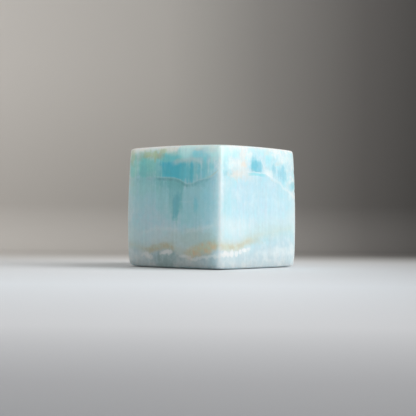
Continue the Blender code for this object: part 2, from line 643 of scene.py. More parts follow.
RIGHT_PATCHES = (
    # The mottled zone over the vein
    Pocket(Face.RIGHT, -15.0, 44.6, 8.0, 4.0, Tone.MILK, 0.35, 1.0, 0.3, 1.4, side=Side.OVER_VEIN),
    Pocket(Face.RIGHT, -22.0, 43.6, 3.4, 4.4, Tone.CYAN, 0.35, 1.3, 0.4, 1.4),
    Pocket(Face.RIGHT, -15.5, 46.2, 3.6, 1.8, Tone.CYAN, 0.35, 1.0, 0.3, 1.4),
    Pocket(Face.RIGHT, 16.5, 45.2, 4.2, 2.4, Tone.MILK, 0.45, 1.0, 0.3, 1.0),
    Pocket(Face.RIGHT, 6.6, 38.7, 3.2, 1.6, Tone.MILK, 0.55, 1.0, 0.4, 1.0, side=Side.OVER_VEIN),
    Pocket(Face.RIGHT, 23.0, 34.2, 2.2, 1.6, Tone.LAGOON, 0.55, 1.0, 0.3, 0.5, side=Side.OVER_VEIN),
    Pocket(Face.RIGHT, -1.8, 41.3, 3.8, 2.3, Tone.LAGOON, 0.70, 0.6, 0.4, 0.5, side=Side.OVER_VEIN),
    Pocket(Face.RIGHT, -3.6, 42.0, 1.9, 2.7, Tone.LAGOON, 0.62, 1.0, 0.5, 0.4, side=Side.OVER_VEIN),
    Pocket(Face.RIGHT, 6.0, 44.2, 1.4, 2.2, Tone.CYAN, 0.40, 1.0, 0.6),
    Pocket(Face.RIGHT, 9.7, 40.6, 1.1, 2.4, Tone.LAGOON, 0.45, 1.0, 1.0, 0.3),
    Pocket(Face.RIGHT, 13.3, 39.4, 1.4, 2.9, Tone.LAGOON, 0.45, 1.0, 1.2, 0.3, side=Side.OVER_VEIN),
    Pocket(Face.RIGHT, 16.8, 39.2, 2.1, 3.2, Tone.LAGOON, 0.48, 1.0, 1.6, 0.4, side=Side.OVER_VEIN),
    Pocket(Face.RIGHT, -10.4, 45.4, 2.0, 4.6, Tone.ROSE, 0.60, 1.3, 0.1, 1.5),
    Pocket(Face.RIGHT, -10.4, 42.1, 1.5, 1.0, Tone.PEACH, 0.52, 1.6, 0.1, 1.2),
    Pocket(Face.RIGHT, -12.0, 38.0, 6.5, 2.2, Tone.ROSE, 0.65, 1.3, 0.2, 1.4),
    Pocket(Face.RIGHT, -15.4, 37.4, 3.6, 1.4, Tone.PEACH, 0.32, 1.6, 0.1, 1.4),
    Pocket(Face.RIGHT, 12.6, 43.0, 1.8, 0.9, Tone.PEACH, 0.30, 1.6, 0.2, 1.4),
    Pocket(Face.RIGHT, 6.8, 48.6, 1.8, 0.6, Tone.PEACH, 0.32, 1.6, 0.1, 1.4),
    Pocket(Face.RIGHT, 5.6, 47.0, 1.8, 1.4, Tone.ROSE, 0.40, 1.6, 0.1, 1.4),
    Pocket(Face.RIGHT, -12.0, 41.0, 4.0, 1.6, Tone.ROSE, 0.34, 1.6, 0.1, 1.6),
    Pocket(Face.RIGHT, -21.6, 38.2, 1.1, 1.0, Tone.LAGOON, 0.40, 1.3, 0.4, 1.0),
    Pocket(Face.RIGHT, -18.2, 38.2, 0.8, 0.7, Tone.LAGOON, 0.34, 1.3, 0.4, 1.0),
    # The body under it
    Pocket(Face.RIGHT, -20.0, 27.0, 2.2, 8.0, Tone.CYAN, 0.25, 1.3, 2.2, 0.3),
    Pocket(Face.RIGHT, -15.0, 17.6, 7.5, 2.6, Tone.MILK, 0.40, 1.6, 1.0),
    Pocket(Face.RIGHT, 10.0, 14.2, 17.0, 3.4, Tone.SAGE, 0.26, 1.0, 0.1),
)
RIGHT_STRANDS = (
    Strand(Face.RIGHT, ((-10.0, 39.0), (-4.0, 39.0), (2.0, 38.8), (7.0, 38.0)), 0.22, Tone.MILK, 0.32,
           0.3),
    Strand(Face.RIGHT, ((-8.0, 38.0), (-2.0, 38.2), (4.5, 37.7)), 0.60, Tone.TEAL, 0.56, 0.3),
    Strand(Face.RIGHT, ((3.0, 39.0), (6.0, 38.1), (10.0, 36.5), (15.0, 34.3), (20.0, 31.8), (28.0, 27.6)),
           0.80, Tone.MILK, 0.42, 1.3, 1.8),
    Strand(Face.RIGHT, ((6.5, 36.9), (8.5, 36.1), (11.0, 35.2)), 0.25, Tone.PEACH, 0.30, 0.3),
)
FOOT_PATCHES = (
    Pocket(Face.FRONT, -3.6, 6.3, 1.9, 0.9, Tone.MILK, 0.85, 1.0, 0.6, 0.9),
    Pocket(Face.FRONT, -1.0, 6.1, 1.4, 0.7, Tone.MILK, 0.75, 1.0, 0.6, 0.9),
    Pocket(Face.FRONT, 6.6, 4.9, 1.8, 0.7, Tone.MILK, 0.50, 1.0, 0.1, 0.6),
    Pocket(Face.FRONT, -14.2, 5.4, 2.0, 0.9, Tone.MILK, 0.65, 1.0, 0.5, 0.9),
    Pocket(Face.FRONT, -11.6, 4.7, 2.2, 0.9, Tone.MILK, 0.65, 1.0, 0.5, 0.9),
    Pocket(Face.FRONT, -18.0, 3.0, 5.0, 1.6, Tone.MILK, 0.25, 1.3, 0.4, 1.0),
    Pocket(Face.FRONT, 9.0, 2.6, 5.0, 1.6, Tone.MILK, 0.25, 1.3, 0.4, 1.0),
    Pocket(Face.RIGHT, -16.5, 4.9, 9.0, 1.7, Tone.FOOT, 0.55, 1.3, 0.2, 0.8),
    Pocket(Face.RIGHT, -21.0, 8.9, 4.5, 1.1, Tone.UMBER, 0.28, 1.3, 0.2, 0.8),
    Pocket(Face.RIGHT, -4.0, 10.8, 5.5, 1.2, Tone.UMBER, 0.26, 1.3, 0.2, 0.8),
    Pocket(Face.RIGHT, 13.0, 6.4, 10.0, 1.8, Tone.MILK, 0.25, 1.0, 0.2, 1.0),
    # The row of white lobes that hangs under the seam
    Pocket(Face.RIGHT, -21.8, 6.9, 1.2, 0.9, Tone.MILK, 0.72, 1.0, 0.2, 0.6),
    Pocket(Face.RIGHT, -22.8, 5.8, 1.4, 1.0, Tone.MILK, 0.66, 1.0, 0.2, 0.6),
    Pocket(Face.RIGHT, -20.2, 6.0, 1.1, 1.0, Tone.MILK, 0.66, 1.0, 0.2, 0.6),
    Pocket(Face.RIGHT, -17.9, 6.4, 1.1, 1.3, Tone.MILK, 0.74, 0.6, 0.2, 0.5),
    Pocket(Face.RIGHT, -15.1, 6.3, 1.0, 1.1, Tone.MILK, 0.70, 0.6, 0.2, 0.5),
    Pocket(Face.RIGHT, -12.7, 6.9, 0.9, 1.0, Tone.MILK, 0.68, 0.6, 0.2, 0.4),
    Pocket(Face.RIGHT, -10.0, 7.6, 1.3, 0.9, Tone.MILK, 0.80, 0.6, 0.2, 0.4),
    Pocket(Face.RIGHT, -7.2, 8.2, 1.2, 0.6, Tone.MILK, 0.50, 0.6, 0.2, 0.4),
)
FOOT_STRANDS = (
    Strand(Face.FRONT, ((4.0, 5.8), (7.0, 5.2), (10.0, 4.7), (13.0, 4.2), (17.0, 4.4), (20.5, 4.8),
           (25.5, 5.4)), 0.60, Tone.MILK, 0.50, 1.0, 1.2),
    Strand(Face.RIGHT, ((-28.0, 5.4), (-20.0, 6.4), (-15.0, 6.6), (-11.0, 7.4), (-5.0, 8.7)), 0.8,
           Tone.MILK, 0.20, 0.3, 1.2),
)
STAINS = (
    Pocket(Face.FRONT, -13.8, 46.8, 2.4, 1.5, Tone.OLIVE, 0.75, 1.0, 0.2, 0.8),
    Pocket(Face.FRONT, -9.6, 46.4, 1.9, 1.8, Tone.OLIVE, 0.80, 1.0, 0.3, 0.6),
    Pocket(Face.FRONT, -7.4, 45.8, 1.4, 1.2, Tone.UMBER, 0.50, 1.3, 0.2, 0.6),
    Pocket(Face.FRONT, -9.6, 44.4, 0.7, 1.6, Tone.OLIVE, 0.50, 1.0, 0.3, 0.3),
    Pocket(Face.FRONT, -5.4, 47.3, 2.2, 1.3, Tone.OLIVE, 0.70, 1.0, 0.2, 0.6),
    Pocket(Face.FRONT, -16.6, 46.6, 1.8, 1.2, Tone.UMBER, 0.35, 1.3, 0.2, 0.8),
    Pocket(Face.FRONT, -22.6, 46.0, 1.3, 3.6, Tone.OLIVE, 0.60, 1.0, 0.3, 0.5),
    Pocket(Face.FRONT, -12.6, 45.4, 1.8, 1.2, Tone.AMBER, 0.22, 1.3, 0.2, 0.8),
    Pocket(Face.FRONT, -5.8, 45.8, 1.6, 1.8, Tone.UMBER, 0.40, 1.3, 0.3, 0.8),
    Pocket(Face.FRONT, -18.5, 45.2, 2.0, 1.6, Tone.UMBER, 0.25, 1.3, 0.2, 1.0),
)
# Painted glow under the front's top rim, for light let in by the lit top; the white spot is the stone's own
RIM_GLOW_PATCHES = (
    Pocket(Face.FRONT, 7.2, 47.4, 3.6, 3.0, Tone.SKY_AND_GLOW, 0.95, 1.0, 0.1, 0.8),
    Pocket(Face.FRONT, 14.0, 49.4, 9.0, 1.4, Tone.SKY_AND_GLOW, 0.60, 1.3, 0.1, 0.6),
    Pocket(Face.FRONT, 22.8, 47.4, 4.2, 3.6, Tone.SKY_AND_GLOW, 0.85, 1.3, 0.1, 0.8),
    Pocket(Face.FRONT, 21.0, 47.8, 1.8, 1.4, Tone.MILK, 0.40, 1.3, 0.1, 1.0),
)
# The hidden faces are guessed: the same minerals, laid as they lie on the front and the right face
HIDDEN_PATCHES = (
    Pocket(Face.LEFT, 16.0, 42.0, 10.0, 6.0, Tone.AQUA, 0.75, 1.0, 0.7, 1.0, side=Side.OVER_VEIN),
    Pocket(Face.LEFT, 12.5, 41.6, 5.4, 4.2, Tone.TEAL, 0.75, 0.6, 0.4, 0.6, side=Side.OVER_VEIN),
    Pocket(Face.LEFT, 13.6, 40.6, 3.4, 3.0, Tone.DEEP_TEAL, 0.70, 1.0, 0.6, 0.5, side=Side.OVER_VEIN),
    Pocket(Face.LEFT, -16.0, 41.0, 11.0, 6.0, Tone.SEA_GREEN, 0.85, 1.0, 0.9, 1.0, side=Side.OVER_VEIN),
    Pocket(Face.LEFT, -3.0, 41.5, 2.0, 4.4, Tone.TEAL, 0.40, 1.0, 1.2, 0.5, side=Side.OVER_VEIN),
    Pocket(Face.LEFT, -8.0, 29.5, 2.2, 8.0, Tone.SLATE, 0.45, 0.6, 0.8, 0.5, taper=0.35,
           side=Side.UNDER_VEIN),
    Pocket(Face.LEFT, -7.6, 28.0, 1.0, 4.6, Tone.LAGOON, 0.40, 1.0, 0.8, 0.4),
    Pocket(Face.LEFT, 12.0, 30.0, 9.0, 8.0, Tone.AQUA, 0.42, 1.0, 0.7, 1.0, side=Side.UNDER_VEIN),
    Pocket(Face.BACK, -14.0, 42.0, 9.0, 5.0, Tone.AQUA, 0.70, 1.0, 0.6, 1.2, side=Side.OVER_VEIN),
    Pocket(Face.BACK, -9.0, 41.0, 4.6, 3.2, Tone.TEAL, 0.70, 0.6, 0.5, 0.7, side=Side.OVER_VEIN),
    Pocket(Face.BACK, 2.6, 42.6, 2.4, 3.6, Tone.LAGOON, 0.45, 1.0, 1.0, 0.6, side=Side.OVER_VEIN),
    Pocket(Face.BACK, 12.0, 41.0, 6.0, 4.0, Tone.CYAN, 0.50, 1.0, 0.8, 1.2, side=Side.OVER_VEIN),
    Pocket(Face.BACK, -12.0, 28.0, 9.0, 9.0, Tone.AQUA, 0.40, 1.0, 0.6, 1.0),
    Pocket(Face.BACK, -15.0, 27.0, 1.6, 6.4, Tone.SLATE, 0.40, 1.0, 0.9, 0.4, side=Side.UNDER_VEIN),
    Pocket(Face.TOP, 9.0, 9.0, 9.0, 7.0, Tone.CYAN, 0.60, 1.3, 0.1, 1.6),
    Pocket(Face.TOP, 12.0, 6.0, 4.0, 3.0, Tone.TEAL, 0.50, 1.0, 0.1, 1.4),
    Pocket(Face.TOP, 5.0, -14.0, 7.0, 4.0, Tone.SKY_AND_GLOW, 0.60, 1.3, 0.1, 1.4),
    Pocket(Face.TOP, -3.0, 15.0, 5.0, 4.0, Tone.AQUA, 0.55, 1.3, 0.1, 1.6),
)
HIDDEN_STRANDS = (
    Strand(Face.LEFT, ((-25.5, 14.6), (-12.0, 16.2), (0.0, 14.8), (12.0, 15.8), (25.5, 14.4)), 0.90,
           Tone.MILK, 0.30, 0.9, 1.8),
    Strand(Face.BACK, ((-25.5, 14.4), (-10.0, 16.0), (4.0, 17.4), (25.5, 16.0)), 0.90, Tone.MILK, 0.30,
           1.0, 1.8),
)
HIDDEN_STAINS = (
    Pocket(Face.LEFT, -19.0, 46.4, 3.0, 2.2, Tone.OLIVE, 0.60, 1.0, 0.2, 0.9),
    Pocket(Face.LEFT, 3.0, 47.0, 3.4, 1.5, Tone.OLIVE, 0.55, 1.0, 0.2, 0.9),
    Pocket(Face.BACK, -20.0, 46.6, 3.0, 1.8, Tone.OLIVE, 0.55, 1.0, 0.2, 0.9),
    Pocket(Face.TOP, -14.0, -12.0, 5.0, 3.2, Tone.OLIVE, 0.42, 1.6, 0.1, 1.6),
    Pocket(Face.TOP, -8.0, 3.0, 6.0, 2.4, Tone.UMBER, 0.35, 1.6, 0.1, 1.8),
    Pocket(Face.LEFT, 15.0, 6.2, 2.2, 0.9, Tone.MILK, 0.80, 0.6, 0.1, 0.5),
    Pocket(Face.LEFT, -12.0, 5.4, 2.6, 1.0, Tone.MILK, 0.70, 1.0, 0.1, 0.6),
    Pocket(Face.BACK, -6.0, 6.8, 2.0, 0.9, Tone.MILK, 0.75, 0.6, 0.1, 0.5),
    Pocket(Face.BACK, 14.0, 8.4, 3.0, 1.0, Tone.MILK, 0.60, 1.0, 0.1, 0.6),
)


class StoneColours:
    """The stone's colours as signals over the place in the block, laid on from its body outwards.

    The renderer can hold only so many of a material's values at once. Sharing more of them between the
    layers than this does has turned the stone black.
    """

    near_face: tuple[float, float] = (22.0, 24.0)
    strand_start: tuple[float, float] = (-0.5, 3.0)
    strand_end: tuple[float, float] = (0.5, -3.0)
    least_taper: float = 0.1
    relief_strength: float = 0.35

    def __init__(self, graph: Graph, half_mm: float, height_mm: float) -> None:
        """Work out what several layers need: the place, its fibres and its distance to the sheets.

        Args:
            graph: The material's graph.
            half_mm: Half of the block's side.
            height_mm: The block's height.
        """
        self.graph = graph
        self.half_mm = half_mm
        self.height_mm = height_mm
        coordinates = graph.add("ShaderNodeTexCoord", {}, {})
        self.place = Signal(graph, coordinates.outputs["Object"]) * (1 / MM)
        self.normal = Signal(graph, coordinates.outputs["Normal"])
        self.x, self.y, self.z = self.place.parts()
        self.fibre = graph.noise(self.place * (1.0, 1.0, 0.06), 0.5, 4.0, 0.65).fade(0.30, 0.70)
        self.grain = self.fibre - 0.5
        self.mottle = graph.noise(self.place, 0.55, 4.0, 0.62) - 0.5
        self.cloud = graph.noise(self.place * (1.0, 1.0, 0.8), 0.30, 4.0, 0.6) - 0.5
        self.fray = graph.noise(self.place * (1.0, 1.0, 0.5), 0.8, 3.0, 0.6) - 0.5
        drift = graph.noise(self.place, 0.22, 2.0, 0.5, "Color") - 0.5
        ruffle = graph.noise(self.place, 0.9, 2.0, 0.5, "Color") - 0.5
        self.wobble = drift * 3.0 + ruffle * 1.4
        self.lift = self.wobble.dot((0.0, 0.0, 1.0))
        self.over_vein = self.z - VEIN.signal(self.x, self.y) + self.fray * 0.7
        self.over_seam = self.z - SEAM.signal(self.x, self.y) + self.fray * 1.2
        border = self.over_vein / (1 + self.x.fade(-6.0, -11.0) * 2)
        self.sides = {Side.OVER_VEIN: border.fade(-0.3, 0.2), Side.UNDER_VEIN: border.fade(0.2, -0.3)}
        self.warped: dict[float, Signal] = {}
        self.near: dict[Face, Signal] = {}

    def warp(self, ragged: float) -> Signal:
        """The place from which a ragged outline is measured; outlines that are alike share it.

        Args:
            ragged: How much the outline wanders.

        Returns:
            The place, shifted by noise.
        """
        if ragged not in self.warped:
            self.warped[ragged] = self.place + self.wobble * ragged
        return self.warped[ragged]

    def nearness(self, face: Face) -> Signal:
        """How near a place is to a side face, from 0 in the depth to 1; the strands of a face share it.

        Args:
            face: The side face.

        Returns:
            The mask.
        """
        if face not in self.near:
            outward = (self.y, self.x)[face.across_axis] * sum(face.value)
            self.near[face] = outward.fade(*self.near_face)
        return self.near[face]

    def pocket_mask(self, pocket: Pocket) -> Signal:
        """How much of a pocket shows at a place.

        Args:
            pocket: The pocket.

        Returns:
            Its mask, from 0 to its strength.
        """
        centre = pocket.face.place(pocket.across, pocket.up, self.half_mm, self.height_mm)
        radii = pocket.face.radii(pocket.width, pocket.height, pocket.depth)
        stretch = [1 / radius for radius in radii]
        shift = [-middle / radius for middle, radius in zip(centre, radii)]
        place = self.warp(pocket.ragged)
        offset = place.combine("MULTIPLY_ADD", place, stretch, shift)
        if pocket.squared or pocket.taper:
            sides = offset.parts()
            if pocket.taper:
                axis = pocket.face.across_axis
                sides[axis] = sides[axis] / (sides[2] * pocket.taper + 1).at_least(self.least_taper)
            size = abs(sides[0]).at_least(abs(sides[1])).at_least(abs(sides[2]))
        else:
            size = offset.length()
        size = size.plus_share(self.grain, pocket.streak).plus_share(self.mottle, pocket.blur)
        mask = size.fade(1 + pocket.blur / 2, 1 - pocket.blur / 2, pocket.strength)
        return mask if pocket.side is Side.ANY else mask * self.sides[pocket.side]

    def strand_mask(self, strand: Strand) -> Signal:
        """How much of a strand shows at a place.

        Args:
            strand: The strand.

        Returns:
            Its mask, from 0 to its strength.
        """
        along = (self.x, self.y)[strand.face.across_axis]
        level = (self.z - Profile(strand.points).signal(along)).plus_share(self.lift, strand.ragged)
        gap = abs(level) / strand.width + self.mottle
        line = gap.fade(1 + strand.blur / 2, 1 - strand.blur / 2, strand.strength)
        start = [strand.points[0][0] + step for step in self.strand_start]
        end = [strand.points[-1][0] + step for step in self.strand_end]
        shown = along.fade(*start) * along.fade(*end)
        return line * shown * self.nearness(strand.face)

    def lay(self, colour: Signal, pieces: Sequence[Pocket | Strand]) -> Signal:
        """Lay pockets and strands over a colour, each over the ones before.

        Args:
            colour: The colour so far.
            pieces: The pockets and strands.

        Returns:
            The colour with them.
        """
        for piece in pieces:
            mask = self.pocket_mask(piece) if isinstance(piece, Pocket) else self.strand_mask(piece)
            colour = self.graph.mix(mask, colour, piece.tone)
        return colour

    def body(self) -> Signal:
        """The pale fibrous body of the stone."""
        slow = self.graph.noise(self.place, 0.08, 2.0).fade(0.35, 0.65)
        ground = self.graph.mix(self.fibre, Tone.PALE, Tone.ASH_BLUE)
        ground = self.graph.mix(self.cloud.fade(0.0, 0.16, 0.22), ground, Tone.MILK)
        ground = self.graph.mix(self.cloud.fade(0.0, -0.16, 0.22), ground, Tone.CYAN)
        return self.graph.mix(slow * 0.15, ground, Tone.AQUA)

    def lay_clouds(self, colour: Signal) -> Signal:
        """Lay the white and cyan clouds of the zone over the vein."""
        over = self.over_vein.fade(0.0, 2.5)
        colour = self.graph.mix(over * self.cloud.fade(-0.05, 0.16, 0.5), colour, Tone.MILK)
        return self.graph.mix(over * self.mottle.fade(0.02, 0.16, 0.25), colour, Tone.CYAN)

    def lay_haze(self, colour: Signal) -> Signal:
        """Lay the milky haze that stands over the seam."""
        band = self.over_seam.fade(11.0, 4.0) * self.over_seam.fade(-0.5, 1.0)
        return self.graph.mix(band * (0.4 + self.fibre * 0.3), colour, Tone.HAZE)

    def lay_vein(self, colour: Signal) -> Signal:
        """Lay the vein: a pale line with a darker one that follows its lower side."""
        on_right = self.x.fade(20.0, 24.5)
        front = self.y.fade(-15.0, -20.0)
        on_front = self.x.fade(-12.0, -6.0) * self.x.fade(24.0, 19.0) * front
        hidden = self.y.fade(-18.0, -10.0) * (1 - on_right) * self.cloud.fade(-0.16, 0.10)
        line = abs(self.over_vein).fade(0.55, 0.10)
        under = abs(self.over_vein + 0.8).fade(0.9, 0.2) * self.fray.fade(-0.30, 0.10)
        dark = on_front * (self.x.fade(10.0, 6.0, 0.35) + 0.25)
        dark = dark + front * self.x.fade(-5.0, -9.0) * self.cloud.fade(-0.05, 0.1, 0.3)
        dark = dark + hidden * 0.3
        colour = self.graph.mix(under * dark, colour, Tone.SHADE)
        return self.graph.mix(line * (on_front * 0.14 + hidden * 0.32), colour, Tone.MILK)

    def lay_foot(self, colour: Signal) -> Signal:
        """Lay the greyer stone under the seam, darkest in the middle of the front."""
        slow = self.x.fade(18.0, 24.0) * self.y.fade(-14.0, -4.0)
        under = (self.over_seam / (1 + slow * 4)).fade(0.2, -1.6)
        dark = self.pocket_mask(Pocket(Face.FRONT, -1.0, 3.6, 8.5, 3.6, Tone.SMOKE, 0.85, 1.3, 0.3))
        dapple = self.cloud.fade(-0.12, 0.12)
        colour = self.graph.mix(under, colour, Tone.FOOT)
        colour = self.graph.mix(under * dapple * 0.35, colour, Tone.MILK)
        front = self.y.fade(-21.0, -24.0) * self.x.fade(25.0, 21.0)
        shade = dark.at_least(front * self.x.fade(-16.0, -2.0, 0.26)) * (0.9 - dapple * 0.35)
        return self.graph.mix(under * shade, colour, Tone.SMOKE)

    def lay_seam(self, colour: Signal) -> Signal:
        """Lay the tan seam, strongest along the front's two humps."""
        graph = self.graph
        blotch = graph.noise(self.place, 0.4, 3.0, 0.6)
        on_right = self.x.fade(20.0, 25.0)
        right_hump = self.x.fade(5.0, 12.0)
        left_hump = self.x.fade(-18.0, -8.0) * self.x.fade(4.0, -1.0)
        thick = 1.8 + right_hump * self.x.fade(26.0, 18.0) * 1.3
        band = abs((self.over_seam + 0.1) / thick + self.mottle * 0.6).fade(1.3, 0.1)
        along_front = (left_hump * 0.9 + right_hump + 0.25).at_most(1.0)
        along_right = self.y.fade(4.0, -15.0) * 0.87 + 0.13
        strength = along_front * along_right * (0.6 + blotch.fade(0.35, 0.6) * 0.4)
        stain = graph.mix(right_hump * (1 - on_right), Tone.UMBER, Tone.OCHRE)
        stain = graph.mix(blotch.fade(0.50, 0.38) * 0.4, stain, Tone.OLIVE)
        spot = blotch.fade(0.50, 0.68) * right_hump * (1 - on_right)
        stain = graph.mix(spot * 0.8, stain, Tone.AMBER)
        halo = self.over_seam.fade(4.5, 0.5) * self.over_seam.fade(-1.5, 0.5) * along_right
        halo = halo * (0.22 + right_hump * 0.14)
        colour = graph.mix(halo, colour, Tone.UMBER)
        return graph.mix(band * strength * (0.9 - on_right * 0.15), colour, stain)

    def lay_crust(self, colour: Signal) -> Signal:
        """Lay the cream crust of the top, with olive stains on the faces that turn away."""
        over = self.z - CRUST.signal(self.x, self.y) + self.fray * 2.0
        stain = self.graph.noise(self.place * (1.0, 1.0, 0.45), 0.34, 3.0, 0.55).fade(0.52, 0.68)
        away = self.y.fade(-20.0, -12.0) * self.x.fade(22.0, 12.0)
        crust = self.graph.mix(stain * away * 0.8, Tone.CREAM, Tone.OLIVE)
        return self.graph.mix(over.fade(-1.2, 1.2) * 0.85, colour, crust)

    def lay_edge_frost_highlight_and_contact_shade(self, colour: Signal) -> Signal:
        """Whiten the softened edges, partly a real frosting and partly a painted highlight that is
        strongest along the top rim, and paint a contact shadow along the line on which the block stands.
        """
        x, y, z = abs(self.normal).parts()
        edge = (x * y).at_least(x * z).at_least(y * z).fade(0.15, 0.5) * self.z.fade(1.5, 4.0)
        # Painted highlight on the edges, strongest along the top rim; partly the edges' own frosting
        colour = self.graph.mix(edge * (0.3 + self.z.fade(47.5, 49.0) * 0.4), colour, Tone.MILK)
        # Painted contact shadow along the line on which the block stands
        return self.graph.mix(self.z.fade(0.9, 0.1) * 0.7, colour, Tone.CONTACT_SHADE)

    def colour(self) -> Signal:
        """The whole colour, from the body to the edges."""
        colour = self.lay_haze(self.body())
        colour = self.lay(self.lay_clouds(colour), FRONT_PATCHES + FRONT_STRANDS + RIGHT_PATCHES)
        colour = self.lay(colour, HIDDEN_PATCHES + HIDDEN_STRANDS)
        colour = self.lay_vein(colour)
        colour = self.lay(colour, RIGHT_STRANDS)
        colour = self.lay_foot(colour)
        colour = self.lay_seam(colour)
        colour = self.lay(colour, FOOT_PATCHES + FOOT_STRANDS)
        colour = self.lay_crust(colour)
        colour = self.lay(colour, STAINS + HIDDEN_STAINS)
        # Painted edge highlight and contact shadow, then the painted glow under the top rim
        colour = self.lay(self.lay_edge_frost_highlight_and_contact_shade(colour), RIM_GLOW_PATCHES)
        thread = self.graph.noise(self.place * (1.0, 1.0, 0.05), 1.0, 3.0, 0.6) - 0.5
        sheet = self.graph.noise(self.place * (0.07, 0.07, 1.0), 0.4, 2.0, 0.5) - 0.5
        return colour * (1 + thread * 0.18 + sheet * 0.05 + self.mottle * 0.14)

    def roughness(self, smooth: float, dull: float) -> Signal:
        """Roughness: the polish is duller in the seam.

        Args:
            smooth: The roughness of the clean stone.
            dull: The roughness of the seam.

        Returns:
            The roughness.
        """
        seam = abs(self.over_seam).fade(1.6, 0.4)
        smear = self.graph.noise(self.place, 0.3, 3.0, 0.6).fade(0.35, 0.75)
        return smooth + seam * (dull - smooth) + smear * 0.08

    def relief(self, height: float) -> Signal:
        """Normal of the finest relief: fibres and polishing marks.

        Args:
            height: The relief's height in metres.

        Returns:
            The bumped normal.
        """
        fine = self.graph.noise(self.place * (1.0, 1.0, 0.12), 1.6, 3.0, 0.6)
        inputs = {"Strength": self.relief_strength, "Distance": height, "Height": fine}
        return self.graph.node("ShaderNodeBump", {}, inputs)


@dataclass(frozen=True)
class CalciteFinish:
    """The polished stone: fibrous pale blue calcite with its veins, stains and white layers."""

    name: str
    half_mm: float
    height_mm: float
    smooth: float = 0.28
    dull: float = 0.5
    refraction: float = 1.55
    scatter: float = 1.0
    scatter_radius: Triple = (1.0, 1.25, 1.35)
    scatter_depth: float = 12.0 * MM
    relief_height: float = 0.05 * MM

    def make(self) -> bpy.types.Material:
        """Build the material.

        Returns:
            The material.
        """
        material = bpy.data.materials.new(self.name)
        graph = Graph(material)
        colours = StoneColours(graph, self.half_mm, self.height_mm)
        values = {
            "Base Color": colours.colour(),
            "Roughness": colours.roughness(self.smooth, self.dull),
            "Normal": colours.relief(self.relief_height),
            "IOR": self.refraction,
            "Subsurface Weight": self.scatter,
            "Subsurface Radius": self.scatter_radius,
            "Subsurface Scale": self.scatter_depth,
        }
        for socket, value in values.items():
            graph.feed(graph.shader.inputs[socket], value)
        return material


